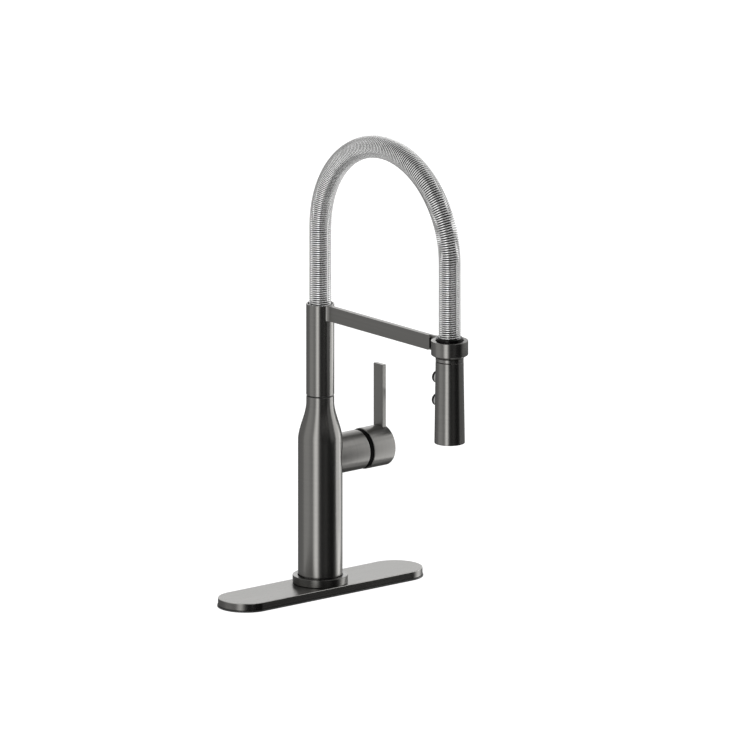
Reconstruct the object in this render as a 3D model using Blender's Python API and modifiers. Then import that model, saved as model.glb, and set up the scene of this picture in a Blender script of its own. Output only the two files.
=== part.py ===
"""Spring-arch kitchen faucet with a pull-down spray head, on an oblong deck plate.

Metres, +Z up. The origin is on the post's axis at the deck surface. -Y is the front, where the
spray head hangs, and +X is the side with the handle.
"""

import math

import bmesh
import bpy
from mathutils import Matrix

# Clearances
GAP = 0.0003
STEPS = 32
SMALL_STEPS = 16

# Deck plate
PLATE_LENGTH = 0.254
PLATE_WIDTH = 0.0575
PLATE_TOP = 0.009
PLATE_LIP = 0.0018
PLATE_SHELL_INSET = 0.00075
PLATE_WALL = 0.0010
PLATE_EDGE_ROUND = 0.0008
DECK_HOLE_R = 0.017
BASE_RING_R = 0.0279
BASE_RING_TOP = 0.0172

# Body
BODY_R = 0.02245
BODY_WALL = 0.0016
NECK_R = 0.0141
SHOULDER_LOW = 0.1565
SHOULDER_HIGH = 0.1965
BODY_TOP = 0.2028
SHOULDER_POINTS = 8

# Spout tube and the swivel that carries it
TUBE_R = 0.0142
TUBE_BORE_R = 0.0126
TUBE_BOTTOM = 0.2040
ARM_TOP = 0.2982
STUB_R = 0.0110
STUB_BORE_R = 0.0050
STUB_TOP = 0.2520
O_RING_HEIGHTS = (0.2220, 0.2320)
BUSH_HEIGHTS = (0.2060, 0.2380)
BUSH_LENGTH = 0.0060
CLIP_LOW = 0.2472
CLIP_HIGH = 0.2486

# Support arm and dock ring
REACH = 0.2014
ARM_WIDTH = 0.0053
ARM_HEIGHT = 0.0155
ARM_ROOT_FILLET = 0.0052
ARM_RING_FILLET = 0.0164
# The fillet ends this far under the ring's surface, past its facets
FACET_SINK = 0.0002
RING_R = 0.01875
RING_TAPER_TOP = 0.2837
RING_BOTTOM = 0.2809
RING_BOTTOM_R = 0.0144
RING_BORE_R = 0.01445
RING_LIP_R = 0.01385

# Spring and hose arch
SPRING_R = 0.01135
SPRING_WALL = 0.0021
SPRING_REAR_END = 0.2846
SPRING_FRONT_END = 0.2836
ARCH_R = REACH / 2
ARCH_CENTRE_Z = 0.3773
# The arch is split this far round, and what is beyond gives when the head is pulled
REAR_TURN = 135.0
REAR_STEPS = 22
FRONT_STEPS = 8
SPLIT_STEP = 0.3
HOSE_R = 0.0070
HOSE_WALL = 0.0020
HOSE_REAR_END = 0.2684
HOSE_FRONT_END = 0.2904

# Handle side, along X at the barrel's height
BARREL_Z = 0.1386
BARREL_R = 0.0201
BARREL_BORE_R = 0.0176
BARREL_END = 0.0497
BARREL_CHAMFER = 0.0005
PIVOT_X = 0.0470
CAP_R = 0.0209
CAP_EDGE = 0.0008
TRIM_R = 0.0202
TRIM_BORE_R = 0.0179
CAP_START = 0.0545
CAP_END = 0.0821
CAP_BORE_R = 0.0178
CAP_FLOOR = 0.0720
HUB_R = 0.0095
HUB_START = 0.0600
STEM_HALF = 0.0035
LEVER_X = (0.0761, 0.0809)
LEVER_WIDTH = 0.0143
LEVER_ROOT = 0.1503
LEVER_TOP = 0.2230
CARTRIDGE_R = 0.0172
CARTRIDGE_START = 0.0083
CARTRIDGE_END = 0.0460
CARRIER_R = 0.0125
CARRIER_END = 0.0530
SCREW_X = 0.0650
SCREW_R = 0.0024
PLUG_RECESS = 0.0003
PLUG_THICKNESS = 0.0012

# Spray head, along the dock ring's axis
CUP_R = 0.0135
CUP_BORE_R = 0.0117
CUP_TOP = 0.3012
CUP_BOTTOM = 0.2812
CUP_FLOOR = 0.2832
COLLAR_R = 0.0142
COLLAR_TOP = 0.2806
COLLAR_BOTTOM = 0.2772
HEAD_TOP = 0.2765
HEAD_BOTTOM = 0.1920
HEAD_TOP_R = 0.0142
HEAD_BOTTOM_R = 0.01545
HEAD_WALL = 0.0017
HOSE_STEM_R = 0.0058
BUTTON_HEIGHTS = {"spray": 0.2569, "stream": 0.2333}
BUTTON_R = 0.0062
BEZEL_R = 0.0071
BEZEL_STAND = 0.0020
BUTTON_STAND = 0.0082
NOZZLE_TIP = 0.1926
NOZZLE_FACE = 0.1936
NOZZLE_BACK = 0.1958
NOZZLE_RINGS = ((0.0084, 8), (0.0113, 12))
NOZZLE_R = 0.0009

# Colour, metallic, roughness
FINISHES = {
    "dark_steel": ((0.16, 0.16, 0.155, 1.0), 1.0, 0.32),
    "spring_steel": ((0.72, 0.72, 0.72, 1.0), 1.0, 0.18),
    "brass": ((0.62, 0.46, 0.22, 1.0), 1.0, 0.35),
    "steel": ((0.50, 0.50, 0.50, 1.0), 1.0, 0.30),
    "black_plastic": ((0.02, 0.02, 0.02, 1.0), 0.0, 0.50),
    "black_rubber": ((0.012, 0.012, 0.012, 1.0), 0.0, 0.70),
    "grey_plastic": ((0.35, 0.35, 0.36, 1.0), 0.0, 0.45),
    "ceramic": ((0.80, 0.79, 0.76, 1.0), 0.0, 0.25),
}


def clear_scene():
    for old in list(bpy.data.objects):
        bpy.data.objects.remove(old)


def collection(name):
    made = bpy.data.collections.new(name)
    bpy.context.scene.collection.children.link(made)
    return made


def finish(slot):
    """The material of a finish, made once."""
    made = bpy.data.materials.get(slot)
    if made:
        return made
    colour, metallic, roughness = FINISHES[slot]
    made = bpy.data.materials.new(slot)
    made.use_nodes = True
    shader = made.node_tree.nodes["Principled BSDF"]
    shader.inputs["Base Color"].default_value = colour
    shader.inputs["Metallic"].default_value = metallic
    shader.inputs["Roughness"].default_value = roughness
    return made


def own_finish(obj, slot):
    material = finish(slot).copy()
    material.name = f"{obj.name}_{slot}"
    obj.data.materials.clear()
    obj.data.materials.append(material)


def add(name, data, slot=None):
    obj = bpy.data.objects.new(name, data)
    if slot:
        PARTS.objects.link(obj)
        own_finish(obj, slot)
    else:
        CUTTERS.objects.link(obj)
        obj.hide_render = True
        obj.display_type = "WIRE"
    return obj


def mesh_from(bm, name):
    mesh = bpy.data.meshes.new(name)
    bm.to_mesh(mesh)
    bm.free()
    mesh.shade_smooth()
    mesh.set_sharp_from_angle(angle=math.radians(35))
    return mesh


AXIS_TURNS = {
    "Z": (0.0, 0.0, 0.0),
    "X": (0.0, math.radians(90), 0.0),
    "Y": (math.radians(-90), 0.0, 0.0),
}


def turned(name, profile, slot=None, axis="Z", at=(0, 0, 0), steps=STEPS):
    """A profile of (radius, distance along the axis), down the outer side first. It is a ring
    when it never meets the axis, and a solid when both its ends lie on it."""
    bm = bmesh.new()
    points = [bm.verts.new((radius, 0.0, along)) for radius, along in profile]
    for first, second in zip(points, points[1:]):
        bm.edges.new((first, second))
    if profile[0][0] > 0:
        bm.edges.new((points[-1], points[0]))
    obj = add(name, mesh_from(bm, name), slot)
    obj.location = at
    obj.rotation_euler = AXIS_TURNS[axis]
    screw = obj.modifiers.new("turn", "SCREW")
    screw.steps = steps
    screw.render_steps = steps
    screw.use_merge_vertices = True
    screw.merge_threshold = 0.00001
    screw.use_normal_calculate = False
    return obj


def tube(name, outer, inner, low, high, slot=None, axis="Z", at=(0, 0, 0), steps=STEPS):
    profile = [(outer, high), (outer, low), (inner, low), (inner, high)]
    return turned(name, profile, slot, axis, at, steps)


def rod(name, radius, low, high, slot=None, axis="Z", at=(0, 0, 0), steps=SMALL_STEPS):
    profile = [(0.0, high), (radius, high), (radius, low), (0.0, low)]
    return turned(name, profile, slot, axis, at, steps)


def block(name, low, high, slot=None, bevel=0.0):
    bm = bmesh.new()
    bmesh.ops.create_cube(bm, size=1.0)
    size = [b - a for a, b in zip(low, high)]
    middle = [(a + b) / 2 for a, b in zip(low, high)]
    bmesh.ops.scale(bm, vec=size, verts=bm.verts)
    bmesh.ops.translate(bm, vec=middle, verts=bm.verts)
    if bevel:
        bmesh.ops.bevel(
            bm, geom=bm.edges[:], offset=bevel, segments=2, profile=0.5, affect="EDGES"
        )
    return add(name, mesh_from(bm, name), slot)


def oblong(name, half_width, low, high, slot=None, top_round=0.0):
    """A cylinder pulled apart along X, so that its ends stay half round."""
    bm = bmesh.new()
    bmesh.ops.create_cone(
        bm, cap_ends=True, segments=66, radius1=half_width, radius2=half_width,
        depth=high - low,
    )
    bmesh.ops.translate(bm, vec=(0, 0, (low + high) / 2), verts=bm.verts)
    half_straight = (PLATE_LENGTH - PLATE_WIDTH) / 2
    for vert in bm.verts:
        vert.co.x += math.copysign(half_straight, vert.co.x)
    if top_round:
        top = [e for e in bm.edges if all(v.co.z > high - GAP for v in e.verts)]
        bmesh.ops.bevel(
            bm, geom=top, offset=top_round, segments=3, profile=0.5, affect="EDGES"
        )
    return add(name, mesh_from(bm, name), slot)


def cut(obj, cutter, how="DIFFERENCE"):
    modifier = obj.modifiers.new(cutter.name, "BOOLEAN")
    modifier.operation = how
    modifier.object = cutter
    return obj


def solid_copy(curve_obj, name, slot=None):
    """The curve made a mesh, so that it can be cut."""
    bpy.context.view_layer.update()
    graph = bpy.context.evaluated_depsgraph_get()
    mesh = bpy.data.meshes.new_from_object(curve_obj.evaluated_get(graph))
    bm = bmesh.new()
    bm.from_mesh(mesh)
    bmesh.ops.remove_doubles(bm, verts=bm.verts, dist=0.00001)
    bmesh.ops.recalc_face_normals(bm, faces=bm.faces)
    bmesh.ops.triangulate(bm, faces=[f for f in bm.faces if len(f.verts) > 4])
    obj = add(name, mesh_from(bm, name), slot)
    obj.matrix_world = curve_obj.matrix_world
    bpy.data.objects.remove(curve_obj)
    return obj


def arc(centre, radius, start, end, count):
    """Points from start to end degrees."""
    angles = [math.radians(start + (end - start) * i / count) for i in range(count + 1)]
    return [
        (centre[0] + radius * math.cos(a), centre[1] + radius * math.sin(a)) for a in angles
    ]


def pivot(name, at):
    empty = bpy.data.objects.new(name, None)
    empty.location = at
    empty.empty_display_size = 0.01
    PARTS.objects.link(empty)
    return empty


def hang(empty, *objects):
    """Parents the objects to the empty and leaves them where they are."""
    for obj in objects:
        obj.parent = empty
        obj.matrix_parent_inverse = Matrix.Translation(-empty.location)


# The base


def shoulder_radius(height):
    """The body's outer radius where it narrows to its neck."""
    along = (height - SHOULDER_LOW) / (SHOULDER_HIGH - SHOULDER_LOW)
    along = min(max(along, 0.0), 1.0)
    return BODY_R - (BODY_R - NECK_R) * along * along * (3 - 2 * along)


def make_deck_plate():
    half_width = PLATE_WIDTH / 2
    shell_half = half_width - PLATE_SHELL_INSET
    base = oblong("plate_base", half_width, 0.0, PLATE_LIP, "black_plastic")
    rib = oblong("plate_rib", shell_half - PLATE_WALL - GAP, 0.001, 0.0046)
    hole = rod("deck_hole", DECK_HOLE_R, -0.005, 0.02, steps=STEPS)
    cut(cut(base, rib, "UNION"), hole)
    plate = oblong(
        "deck_plate", shell_half, PLATE_LIP + GAP, PLATE_TOP, "dark_steel", top_round=PLATE_EDGE_ROUND
    )
    hollow = oblong(
        "plate_hollow", shell_half - PLATE_WALL, 0.0, PLATE_TOP - PLATE_WALL
    )
    cut(cut(plate, hollow), hole)
    tube(
        "base_ring", BASE_RING_R, BODY_R + GAP, PLATE_TOP + GAP, BASE_RING_TOP, "dark_steel"
    )


def make_body():
    heights = [
        SHOULDER_HIGH + (SHOULDER_LOW - SHOULDER_HIGH) * i / SHOULDER_POINTS
        for i in range(SHOULDER_POINTS + 1)
    ]
    bottom = PLATE_TOP + GAP
    outer = [(NECK_R, BODY_TOP)] + [(shoulder_radius(z), z) for z in heights]
    outer.append((BODY_R, bottom))
    inner = [(radius - BODY_WALL, z) for radius, z in reversed(outer)]
    shell = turned("body_shell", outer + inner, "dark_steel")
    socket = rod(
        "cartridge_socket", BARREL_BORE_R, 0.0, 0.03, axis="X", at=(0, 0, BARREL_Z),
        steps=STEPS,
    )
    cut(shell, socket)

    chamfer = BARREL_CHAMFER
    barrel = turned(
        "valve_barrel",
        [
            (BARREL_R - chamfer, BARREL_END),
            (BARREL_R, BARREL_END - chamfer),
            (BARREL_R, 0.004),
            (BARREL_BORE_R, 0.004),
            (BARREL_BORE_R, BARREL_END),
        ],
        "dark_steel", axis="X", at=(0, 0, BARREL_Z),
    )
    saddle = rod("saddle", BODY_R + GAP, 0.1, 0.18, steps=STEPS)
    cut(barrel, saddle)


def make_valve_core():
    """The brass block inside the body, with its cartridge pocket and waterways."""
    core = rod(
        "valve_core", BODY_R - BODY_WALL - GAP, 0.096, 0.158, "brass", steps=STEPS
    )
    pocket = rod(
        "pocket", BARREL_BORE_R - GAP, 0.006, 0.03, axis="X", at=(0, 0, BARREL_Z), steps=STEPS
    )
    outlet = rod("outlet_way", STUB_BORE_R, BARREL_Z - 0.004, 0.17)
    outlet_port = rod("outlet_port", 0.003, 0.0, 0.01, axis="X", at=(0, 0, BARREL_Z))
    for cutter in (pocket, outlet, outlet_port):
        cut(core, cutter)
    for name, side in (("hot", 1), ("cold", -1)):
        inlet = rod(f"{name}_way", 0.0032, 0.09, BARREL_Z - 0.002, at=(-0.004, side * 0.01, 0))
        port = rod(
            f"{name}_port", 0.0028, -0.004, 0.01, axis="X",
            at=(0, side * 0.01, BARREL_Z - 0.005),
        )
        cut(cut(core, inlet), port)


def make_inlets():
    for name, side in (("hot", 1), ("cold", -1)):
        tube(
            f"{name}_inlet", 0.0055, 0.0032, 0.070, 0.0957, "brass",
            at=(-0.004, side * 0.010, 0), steps=SMALL_STEPS,
        )


def make_swivel():
    groove_r = 0.01005
    profile = [(0.0122, 0.164), (0.0122, 0.1583), (STUB_BORE_R, 0.1583), (STUB_BORE_R, STUB_TOP)]
    profile += [(STUB_R, STUB_TOP), (STUB_R, CLIP_HIGH + GAP), (groove_r, CLIP_HIGH + GAP)]
    profile += [(groove_r, CLIP_LOW - GAP), (STUB_R, CLIP_LOW - GAP)]
    for height in reversed(O_RING_HEIGHTS):
        low, high = height - 0.0014, height + 0.0014
        profile += [(STUB_R, high), (groove_r, high), (groove_r, low), (STUB_R, low)]
    profile.append((STUB_R, 0.164))
    turned("swivel_stub", profile, "brass", steps=SMALL_STEPS)

    for number, height in enumerate(O_RING_HEIGHTS, 1):
        ring_section = arc((0.01133, height), 0.0011, 90, -270, 8)[:-1]
        turned(f"swivel_o_ring_{number}", ring_section, "black_rubber", steps=SMALL_STEPS)
    for number, height in enumerate(BUSH_HEIGHTS, 1):
        tube(
            f"swivel_bush_{number}", TUBE_BORE_R - 0.0002, STUB_R + 0.0002, height,
            height + BUSH_LENGTH, "grey_plastic", steps=SMALL_STEPS,
        )
    tube("swivel_washer", 0.0134, STUB_R + GAP, 0.2030, 0.2038, "black_plastic")
    clip = tube(
        "spout_clip", 0.0122, groove_r + 0.0002, CLIP_LOW, CLIP_HIGH, "steel", steps=SMALL_STEPS
    )
    mouth = block("clip_mouth", (0.0, -0.003, CLIP_LOW - 0.001), (0.02, 0.003, CLIP_HIGH + 0.001))
    cut(clip, mouth)


# The cartridge and the handle


def make_cartridge():
    at = (0, 0, BARREL_Z)
    wall_bore = 0.0142
    mouth = CARRIER_R + GAP
    housing = turned(
        "cartridge_housing",
        [
            (CARTRIDGE_R, CARTRIDGE_END),
            (CARTRIDGE_R, CARTRIDGE_START),
            (0.0015, CARTRIDGE_START),
            (0.0015, CARTRIDGE_START + 0.0025),
            (wall_bore, CARTRIDGE_START + 0.0025),
            (wall_bore, CARTRIDGE_END - 0.002),
            (mouth, CARTRIDGE_END - 0.002),
            (mouth, CARTRIDGE_END),
        ],
        "grey_plastic", axis="X", at=at,
    )
    disc_low = CARTRIDGE_START + 0.0025 + GAP
    disc = rod("fixed_disc", 0.0138, disc_low, disc_low + 0.0035, "ceramic", "X", at, STEPS)
    for number, (y, z) in enumerate(((0.0, 0.0), (0.010, -0.005), (-0.010, -0.005)), 1):
        port = rod(
            f"disc_port_{number}", 0.0022, 0.0, 0.016, axis="X", at=(0, y, BARREL_Z + z),
            steps=12,
        )
        cut(disc, port)
        if y:
            cut(housing, port)
        seal_section = arc((0.0031, 0.00715), 0.0008, 90, -270, 6)[:-1]
        turned(
            f"port_seal_{number}", seal_section, "black_rubber", "X",
            (0, y, BARREL_Z + z), SMALL_STEPS,
        )
    tube(
        "cartridge_nut", BARREL_BORE_R - GAP, CARRIER_R + GAP, CARTRIDGE_END + GAP, 0.0494,
        "brass", "X", at,
    )

    moving_low = disc_low + 0.0035 + GAP
    moving = rod("moving_disc", 0.0110, moving_low, moving_low + 0.0035, "ceramic", "X", at, STEPS)
    carrier_low = moving_low + 0.0035 + GAP
    carrier = rod("stem_carrier", CARRIER_R, carrier_low, CARRIER_END, "grey_plastic", "X", at, STEPS)
    slot = block(
        "stem_slot", (0.025, -STEM_HALF - GAP, BARREL_Z - 0.0085),
        (0.06, STEM_HALF + GAP, BARREL_Z + 0.0085),
    )
    pin_hole = rod("pin_hole", 0.0015, -0.02, 0.02, axis="Y", at=(PIVOT_X, 0, BARREL_Z), steps=12)
    cut(cut(carrier, slot), pin_hole)
    pin = rod("stem_pin", 0.0012, -0.012, 0.012, "steel", "Y", (PIVOT_X, 0, BARREL_Z), 12)
    seal = tube(
        "trim_seal", TRIM_R, TRIM_BORE_R, BARREL_END + 0.00025, CAP_START - 0.00025,
        "black_rubber", "X", at,
    )
    hang(pivot("temperature_axis", (0, 0, BARREL_Z)), moving, carrier, pin, seal)
    return pin_hole


def make_handle(pin_hole):
    at = (0, 0, BARREL_Z)
    edge = CAP_EDGE
    cap = turned(
        "handle_cap",
        [
            (0.0, CAP_END),
            (CAP_R - edge, CAP_END),
            (CAP_R - edge * 0.3, CAP_END - edge * 0.3),
            (CAP_R, CAP_END - edge),
            (CAP_R, CAP_START),
            (CAP_BORE_R, CAP_START),
            (CAP_BORE_R, CAP_FLOOR),
            (HUB_R, CAP_FLOOR),
            (HUB_R, HUB_START),
            (0.0, HUB_START),
        ],
        "dark_steel", axis="X", at=at,
    )
    socket_half = STEM_HALF + GAP
    socket = block(
        "stem_socket", (0.05, -socket_half, BARREL_Z - socket_half),
        (0.070, socket_half, BARREL_Z + socket_half),
    )
    slot = block(
        "lever_slot", (LEVER_X[0] - GAP, -LEVER_WIDTH / 2 - GAP, LEVER_ROOT - GAP),
        (LEVER_X[1] + GAP, LEVER_WIDTH / 2 + GAP, 0.17),
    )
    screw_hole = rod(
        "screw_hole", SCREW_R + GAP, BARREL_Z - CAP_R - 0.001, BARREL_Z,
        at=(SCREW_X, 0, 0), steps=16,
    )
    for cutter in (socket, slot, screw_hole):
        cut(cap, cutter)
    stem = block(
        "cartridge_stem", (0.026, -STEM_HALF, BARREL_Z - STEM_HALF),
        (0.0697, STEM_HALF, BARREL_Z + STEM_HALF), "steel",
    )
    cut(stem, pin_hole)
    lever = block(
        "handle_lever", (LEVER_X[0], -LEVER_WIDTH / 2, LEVER_ROOT),
        (LEVER_X[1], LEVER_WIDTH / 2, LEVER_TOP), "dark_steel", bevel=0.0004,
    )
    plug_low = BARREL_Z - CAP_R + PLUG_RECESS
    plug_high = plug_low + PLUG_THICKNESS
    screw = rod(
        "set_screw", SCREW_R, plug_high + GAP, BARREL_Z - STEM_HALF - GAP, "steel",
        at=(SCREW_X, 0, 0), steps=16,
    )
    plug = rod(
        "screw_plug", SCREW_R, plug_low, plug_high, "black_plastic",
        at=(SCREW_X, 0, 0), steps=16,
    )
    hang(pivot("flow_axis", (PIVOT_X, 0, BARREL_Z)), cap, stem, lever, screw, plug)


# The spout


def fillet_centre(radius, half_width, fillet):
    """How far from the circle's centre, along the bar, a fillet between circle and bar lies."""
    return math.sqrt((radius + fillet) ** 2 - (half_width + fillet) ** 2)


def make_support_arm():
    half = ARM_WIDTH / 2
    root_far = fillet_centre(TUBE_R, half, ARM_ROOT_FILLET)
    sunk_ring_r = RING_R - FACET_SINK
    ring_far = fillet_centre(sunk_ring_r, half, ARM_RING_FILLET)
    root_turn = math.degrees(math.acos((half + ARM_ROOT_FILLET) / (TUBE_R + ARM_ROOT_FILLET)))
    ring_turn = math.degrees(math.acos((half + ARM_RING_FILLET) / (sunk_ring_r + ARM_RING_FILLET)))
    side = [(0.0, -TUBE_R * 0.6)]
    side += arc(
        (half + ARM_ROOT_FILLET, -root_far), ARM_ROOT_FILLET, 180 - root_turn, 180, 5
    )
    side += arc(
        (half + ARM_RING_FILLET, ring_far - REACH), ARM_RING_FILLET, 180, 180 + ring_turn, 8
    )
    side.append((0.0, -REACH + RING_R * 0.3))
    outline = side + [(-x, y) for x, y in reversed(side[1:-1])]

    flat = bpy.data.curves.new("arm_outline", "CURVE")
    flat.dimensions = "2D"
    flat.fill_mode = "BOTH"
    flat.extrude = ARM_HEIGHT / 2
    spline = flat.splines.new("POLY")
    spline.points.add(len(outline) - 1)
    for point, (x, y) in zip(spline.points, outline):
        point.co = (x, y, 0, 1)
    spline.use_cyclic_u = True
    bar_curve = bpy.data.objects.new("arm_outline", flat)
    CUTTERS.objects.link(bar_curve)
    bar_curve.location = (0, 0, ARM_TOP - ARM_HEIGHT / 2)
    arm = solid_copy(bar_curve, "support_arm", "dark_steel")

    ring = turned(
        "ring_blank",
        [
            (0.0, ARM_TOP),
            (RING_R, ARM_TOP),
            (RING_R, RING_TAPER_TOP),
            (RING_BOTTOM_R, RING_BOTTOM),
            (0.0, RING_BOTTOM),
        ],
        at=(0, -REACH, 0),
    )
    bore = turned(
        "ring_bore",
        [
            (0.0, 0.32),
            (RING_BORE_R, 0.32),
            (RING_BORE_R, 0.2845),
            (RING_LIP_R, 0.2845),
            (RING_LIP_R, 0.27),
            (0.0, 0.27),
        ],
        at=(0, -REACH, 0),
    )
    clearance = rod("tube_clearance", TUBE_R + GAP, 0.27, 0.31, steps=STEPS)
    cut(arm, clearance)
    cut(arm, ring, "UNION")
    cut(arm, bore)
    return arm


def arch_point(angle):
    """A point of the arch's centre line as (y, z), degrees round from the rear leg."""
    turn = math.radians(angle)
    return (ARCH_R * math.cos(turn) - ARCH_R, ARCH_CENTRE_Z + ARCH_R * math.sin(turn))


def rear_points(low):
    """Up the rear leg and over the top to the split. The last short step squares the end."""
    angles = [REAR_TURN * i / REAR_STEPS for i in range(REAR_STEPS)]
    angles += [REAR_TURN - SPLIT_STEP, REAR_TURN]
    return [(0.0, low)] + [arch_point(angle) for angle in angles]


def front_points(low):
    """On from the split and down the front leg."""
    start = REAR_TURN + math.degrees(GAP / ARCH_R)
    angles = [start, start + SPLIT_STEP]
    angles += [180 + (start - 180) * i / FRONT_STEPS for i in range(FRONT_STEPS - 1, -1, -1)]
    return [arch_point(angle) for angle in angles] + [(-REACH, low)]


def bent_tube(name, points, radius, slot, wall, roundness):
    curve = bpy.data.curves.new(name, "CURVE")
    curve.dimensions = "3D"
    curve.bevel_depth = radius
    curve.bevel_resolution = roundness
    spline = curve.splines.new("POLY")
    spline.points.add(len(points) - 1)
    for point, (y, z) in zip(spline.points, points):
        point.co = (0, y, z, 1)
    obj = bpy.data.objects.new(name, curve)
    PARTS.objects.link(obj)
    own_finish(obj, slot)
    thick = obj.modifiers.new("wall", "SOLIDIFY")
    thick.thickness = wall
    thick.offset = -1
    return obj


def make_arch():
    rear_spring = rear_points(SPRING_REAR_END)
    rear_hose = rear_points(HOSE_REAR_END)
    front_spring = front_points(SPRING_FRONT_END)
    front_hose = front_points(HOSE_FRONT_END)
    rear = [
        bent_tube("spring_rear", rear_spring, SPRING_R, "spring_steel", SPRING_WALL, 4),
        bent_tube("hose_rear", rear_hose, HOSE_R, "black_rubber", HOSE_WALL, 2),
    ]
    front = [
        bent_tube("spring_front", front_spring, SPRING_R, "spring_steel", SPRING_WALL, 4),
        bent_tube("hose_front", front_hose, HOSE_R, "black_rubber", HOSE_WALL, 2),
    ]
    return rear, front


def make_spout():
    spout_tube = tube("spout_tube", TUBE_R, TUBE_BORE_R, TUBE_BOTTOM, ARM_TOP, "dark_steel")
    seat = tube(
        "spring_seat", TUBE_BORE_R - 0.0002, 0.0078, 0.2810, 0.2843, "black_plastic",
        steps=SMALL_STEPS,
    )
    nipple_r = STUB_BORE_R - GAP
    ferrule = turned(
        "hose_ferrule",
        [
            (0.0090, HOSE_REAR_END - GAP),
            (0.0090, STUB_TOP + 0.001),
            (nipple_r, STUB_TOP + 0.001),
            (nipple_r, 0.240),
            (0.0034, 0.240),
            (0.0034, HOSE_REAR_END - GAP),
        ],
        "brass", steps=SMALL_STEPS,
    )
    arm = make_support_arm()
    rear, front = make_arch()
    bushes = [bpy.data.objects[f"swivel_bush_{n}"] for n in (1, 2)]
    hang(pivot("swivel_axis", (0, 0, TUBE_BOTTOM)), spout_tube, seat, ferrule, arm, *rear, *bushes)
    return front


# The pull-down head


def head_radius(height):
    along = (HEAD_TOP - height) / (HEAD_TOP - HEAD_BOTTOM)
    return HEAD_TOP_R + (HEAD_BOTTOM_R - HEAD_TOP_R) * along


def make_hose_end(front):
    at = (0, -REACH, 0)
    cup = turned(
        "spring_cup",
        [
            (CUP_R, CUP_TOP),
            (CUP_R, CUP_BOTTOM),
            (HOSE_STEM_R + GAP, CUP_BOTTOM),
            (HOSE_STEM_R + GAP, CUP_FLOOR),
            (CUP_BORE_R, CUP_FLOOR),
            (CUP_BORE_R, CUP_TOP),
        ],
        "dark_steel", at=at,
    )
    collar = tube(
        "head_collar", COLLAR_R, HOSE_STEM_R + GAP, COLLAR_BOTTOM, COLLAR_TOP, "dark_steel",
        at=at,
    )
    stem = turned(
        "hose_stem",
        [
            (HOSE_STEM_R, HOSE_FRONT_END - GAP),
            (HOSE_STEM_R, 0.2690),
            (0.0072, 0.2690),
            (0.0072, 0.2665),
            (0.0030, 0.2665),
            (0.0030, HOSE_FRONT_END - GAP),
        ],
        "brass", at=at, steps=SMALL_STEPS,
    )
    hang(pivot("pull_axis", (0, -REACH, COLLAR_TOP)), cup, collar, stem, *front)


def make_head_shell():
    at = (0, -REACH, 0)
    shell = turned(
        "head_shell",
        [
            (HEAD_TOP_R, HEAD_TOP),
            (HEAD_BOTTOM_R, HEAD_BOTTOM + 0.0006),
            (HEAD_BOTTOM_R - 0.0006, HEAD_BOTTOM),
            (HEAD_BOTTOM_R - HEAD_WALL, HEAD_BOTTOM),
            (HEAD_TOP_R - HEAD_WALL, HEAD_TOP - 0.0050),
            (HOSE_STEM_R + GAP, HEAD_TOP - 0.0050),
            (HOSE_STEM_R + GAP, HEAD_TOP),
        ],
        "dark_steel", at=at,
    )
    for name, height in BUTTON_HEIGHTS.items():
        hole = rod(
            f"{name}_hole", BEZEL_R + GAP, 0.0, 0.03, axis="Y", at=(0, -REACH, height)
        )
        cut(shell, hole)
    return shell


def make_head_core():
    at = (0, -REACH, 0)
    core = turned(
        "head_core",
        [
            (0.0112, 0.2650),
            (0.0112, 0.2066),
            (0.0030, 0.2066),
            (0.0030, 0.2520),
            (0.0046, 0.2520),
            (0.0046, 0.2650),
        ],
        "grey_plastic", at=at,
    )
    flat = block(
        "core_flat", (-0.02, -REACH + 0.0060, 0.2240), (0.02, -REACH + 0.02, 0.2700)
    )
    cut(core, flat)
    valve = rod("check_valve", 0.0042, 0.2524, 0.2646, "black_plastic", at=at)
    aerator = turned(
        "aerator",
        [(0.0060, 0.2060), (0.0060, 0.1934), (0.0050, 0.1934), (0.0050, 0.1950)]
        + [(0.0025, 0.1950), (0.0025, 0.2060)],
        "grey_plastic", at=at, steps=SMALL_STEPS,
    )
    return [core, valve, aerator]


def nozzle_pegs(name, wide, narrow, low, high):
    """A peg for each spray hole, all in one guide object."""
    bm = bmesh.new()
    for ring_r, count in NOZZLE_RINGS:
        for i in range(count):
            angle = 2 * math.pi * i / count
            centre = (ring_r * math.cos(angle), ring_r * math.sin(angle) - REACH, (low + high) / 2)
            bmesh.ops.create_cone(
                bm, cap_ends=True, segments=6, radius1=narrow, radius2=wide,
                depth=high - low, matrix=Matrix.Translation(centre),
            )
    return add(name, mesh_from(bm, name))


def make_nozzles():
    """A rigid face plate, and behind it the soft mat whose nozzles stand through its holes."""
    at = (0, -REACH, 0)
    plate = tube("nozzle_plate", 0.0134, 0.0063, NOZZLE_FACE, NOZZLE_BACK, "black_plastic", at=at)
    hole_r = NOZZLE_R + GAP
    cut(plate, nozzle_pegs("nozzle_holes", hole_r, hole_r, NOZZLE_TIP, NOZZLE_BACK + 0.001))
    mat_low = NOZZLE_BACK + GAP
    mat = tube("nozzle_mat", 0.0130, 0.0066, mat_low, mat_low + 0.0014, "black_rubber", at=at)
    nozzles = nozzle_pegs("nozzle_nubs", NOZZLE_R, NOZZLE_R * 0.75, NOZZLE_TIP, mat_low + 0.0007)
    cut(mat, nozzles, "UNION")
    return [plate, mat]


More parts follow.
